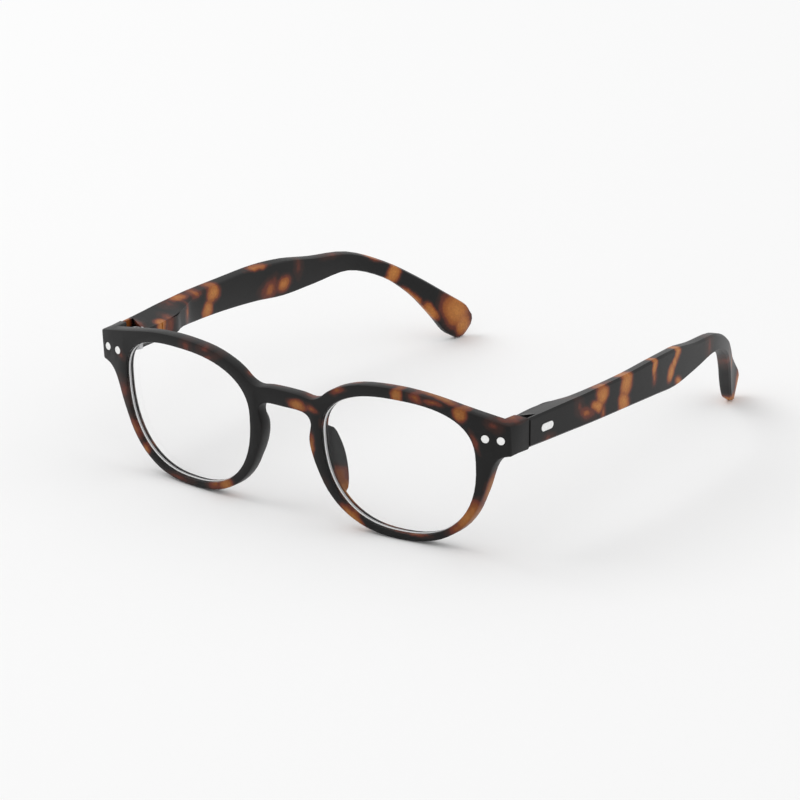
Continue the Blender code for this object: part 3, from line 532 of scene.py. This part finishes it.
def temple_cover(side, hand):
    """The plastic skin beside the end of the hinge housing, on the temple's inner face."""
    inner, outer, faces = [], [], []
    for x, y in (cover_place(i) for i in range(COVER_COLUMNS)):
        inner += [(x * side, y, z) for z in COVER_HEIGHTS]
        outer += [((x + COVER_THICK) * side, y, z) for z in COVER_HEIGHTS]
    many = len(inner)
    rows = len(COVER_HEIGHTS)
    last = COVER_COLUMNS - 1
    for i in range(last):
        for j in range(rows - 1):
            a, b = rows * i + j, rows * (i + 1) + j
            faces += [(a, b, b + 1, a + 1), (a + many, a + 1 + many, b + 1 + many, b + many)]
        for j in (0, rows - 1):
            a, b = rows * i + j, rows * (i + 1) + j
            faces.append((a, a + many, b + many, b))
    for i in (0, last):
        for j in range(rows - 1):
            a = rows * i + j
            faces.append((a, a + 1, a + 1 + many, a + many))
    body = "temple_" + hand
    made = solid("hinge_cover_" + hand, inner + outer, faces, plastic[body], 30, fresh=True)
    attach(made, body)


def soft_temple(side, hand):
    body = "temple_" + hand
    points, faces = merged(body)
    made = solid(body + "_skin", [softened(p, side) for p in points], faces, plastic[body], SKIN_ANGLE)
    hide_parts(body)
    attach(made, body)


def pressed_spring(hand):
    """The coil spring, rebuilt from the imported one with its doubles merged, riding with the temple."""
    source = "hinge_spring_" + hand
    points, faces = merged(source)
    made = solid(source + "_coil", points, faces, wire, 50)
    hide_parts(source)
    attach(made, "temple_" + hand)
    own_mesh(made)


FRONT_THICK = 4.0
REST_CUT = 0.40            # share of a nose rest's reach behind the rim that is taken off


def face_y(x, z):
    """The bowed and tilted front face."""
    s = (x / 50.0) ** 2
    return -78.835 + 3.23 * s + 0.57 * s * s - 0.0873 * (z - 25.0)


def smaller_rests(point):
    """Nose rests that reach less far back."""
    x, y, z = point
    if abs(x) < 26.0 and 3.0 < z < 36.0:
        y -= REST_CUT * max(0.0, y - (face_y(x, z) + FRONT_THICK))
    return Vector((x, y, z))


def soft_front():
    points, faces = merged("front_frame")
    shaped = [smaller_rests(p) for p in points]
    made = solid("front_skin", shaped, faces, plastic["front_frame"], SKIN_ANGLE)
    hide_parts("front_frame")
    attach(made, "front")


# The opening's outline is four quarters of a squared-off oval
OPENING_CENTRE = (36.15, 27.0)
OPENING_HALF_WIDTH = 23.72
OPENING_ABOVE = 14.62
OPENING_BELOW = 24.84
OPENING_POWERS = {(True, True): 2.65, (True, False): 2.3, (False, True): 2.35, (False, False): 2.4}
OPENING_STEPS = 144
BEVEL_START = 1.25         # depths behind the front face
BEVEL_END = 1.65
EDGE_END = 2.4


def opening_place(i, out):
    """(x, z) of a place on the outline, moved inwards by out."""
    c, s = math.cos(math.tau * i / OPENING_STEPS), math.sin(math.tau * i / OPENING_STEPS)
    power = OPENING_POWERS[(s > 0, c > 0)]
    half_height = OPENING_ABOVE if s > 0 else OPENING_BELOW
    x = OPENING_CENTRE[0] + (OPENING_HALF_WIDTH - out) * math.copysign(abs(c) ** (2 / power), c)
    z = OPENING_CENTRE[1] + (half_height - out) * math.copysign(abs(s) ** (2 / power), s)
    return x, z


def lens_edge(name, side, first, last, inset, material):
    """A band of the lens's edge, lining the wall of the opening."""
    points, faces = [], []
    for out, depth in ((0.0, first), (0.0, last), (inset, last), (inset, first)):
        for x, z in (opening_place(i, out) for i in range(OPENING_STEPS)):
            points.append((x * side, face_y(x, z) + depth, z))
    for k in range(4):
        a, b = OPENING_STEPS * k, OPENING_STEPS * ((k + 1) % 4)
        for i in range(OPENING_STEPS):
            j = (i + 1) % OPENING_STEPS
            faces.append((a + i, a + j, b + j, b + i))
    made = solid(name, points, faces, material, 40, fresh=True)
    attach(made, "front")


for side, hand in SIDES:
    soft_temple(side, hand)
    temple_cover(side, hand)
for side, hand in SIDES:
    pressed_spring(hand)
soft_front()
# The bevel band's near-white is a painted highlight: light caught along the lens's bevel, painted onto an
# opaque ring.
painted_bevel_glint = edge_grey_and_glint("lens_bevel_painted_glint", 0.86)
grey_edge = edge_grey_and_glint("ground_lens_edge", 0.34)
for side, hand in SIDES:
    # near-white painted highlight band along the bevel, then the grey edge band behind it
    lens_edge("lens_bevel_" + hand, side, BEVEL_START, BEVEL_END, 0.14, painted_bevel_glint)
    lens_edge("lens_edge_" + hand, side, BEVEL_END, EDGE_END, 0.08, grey_edge)


# ---------------------------------------------------------------- floor, light and camera

def floor():
    """A wide plain floor, just under the glasses."""
    mesh = bpy.data.meshes.new("floor")
    made = bpy.data.objects.new("floor", mesh)
    bpy.context.scene.collection.objects.link(made)
    bm = bmesh.new()
    bmesh.ops.create_grid(bm, x_segments=1, y_segments=1, size=6.0)
    bm.to_mesh(mesh)
    bm.free()
    made.location.z = -0.0001
    tree = Tree("pale_floor")
    tone = tree.map_range(tree.noise(0.004, 2.0), 0.3, 0.7, 0.900, 0.904)
    grey = tree.node("ShaderNodeCombineColor")
    for channel in ("Red", "Green", "Blue"):
        tree.join(tone, grey.inputs[channel])
    tree.join(grey.outputs["Color"], tree.shader.inputs["Base Color"])
    tree.shader.inputs["Roughness"].default_value = 0.9
    tree.shader.inputs["Specular IOR Level"].default_value = 0.0
    mesh.materials.append(tree.material)


def area_light(name, azimuth, elevation, distance, size, power):
    """A soft lamp aimed at the origin; azimuth runs from -Y towards +X, in degrees."""
    lamp = bpy.data.lights.new(name, "AREA")
    lamp.shape = "DISK"
    lamp.size = size
    lamp.energy = power
    made = bpy.data.objects.new(name, lamp)
    bpy.context.scene.collection.objects.link(made)
    a, e = math.radians(azimuth), math.radians(elevation)
    made.location = distance * Vector((math.sin(a) * math.cos(e), -math.cos(a) * math.cos(e), math.sin(e)))
    made.rotation_euler = (-made.location).to_track_quat("-Z", "Y").to_euler()


def world():
    """An even white studio sky."""
    made = bpy.data.worlds.new("studio")
    bpy.context.scene.world = made
    made.use_nodes = True
    ground = made.node_tree.nodes["Background"]
    ground.inputs["Color"].default_value = (1.0, 1.0, 1.0, 1.0)
    ground.inputs["Strength"].default_value = 0.918


def camera():
    """The photograph's viewing angle, from far off with a long lens."""
    lens = bpy.data.cameras.new("camera")
    made = bpy.data.objects.new("camera", lens)
    bpy.context.scene.collection.objects.link(made)
    lens.sensor_width = 36.0
    lens.lens = 232.5
    lens.clip_start = 0.1
    lens.clip_end = 20.0
    azimuth, elevation, distance = math.radians(35.53), math.radians(19.66), 1.5
    target = Vector((-0.01712, -0.0001, 0.00786))
    out = Vector((math.sin(azimuth) * math.cos(elevation), -math.cos(azimuth) * math.cos(elevation),
                  math.sin(elevation)))
    made.location = target + out * distance
    made.rotation_euler = (-out).to_track_quat("-Z", "Y").to_euler()
    bpy.context.scene.camera = made


floor()
world()
area_light("key", -75.0, 50.0, 2.4, 1.7, 11.5)
camera()
bpy.context.scene.view_settings.view_transform = "Standard"
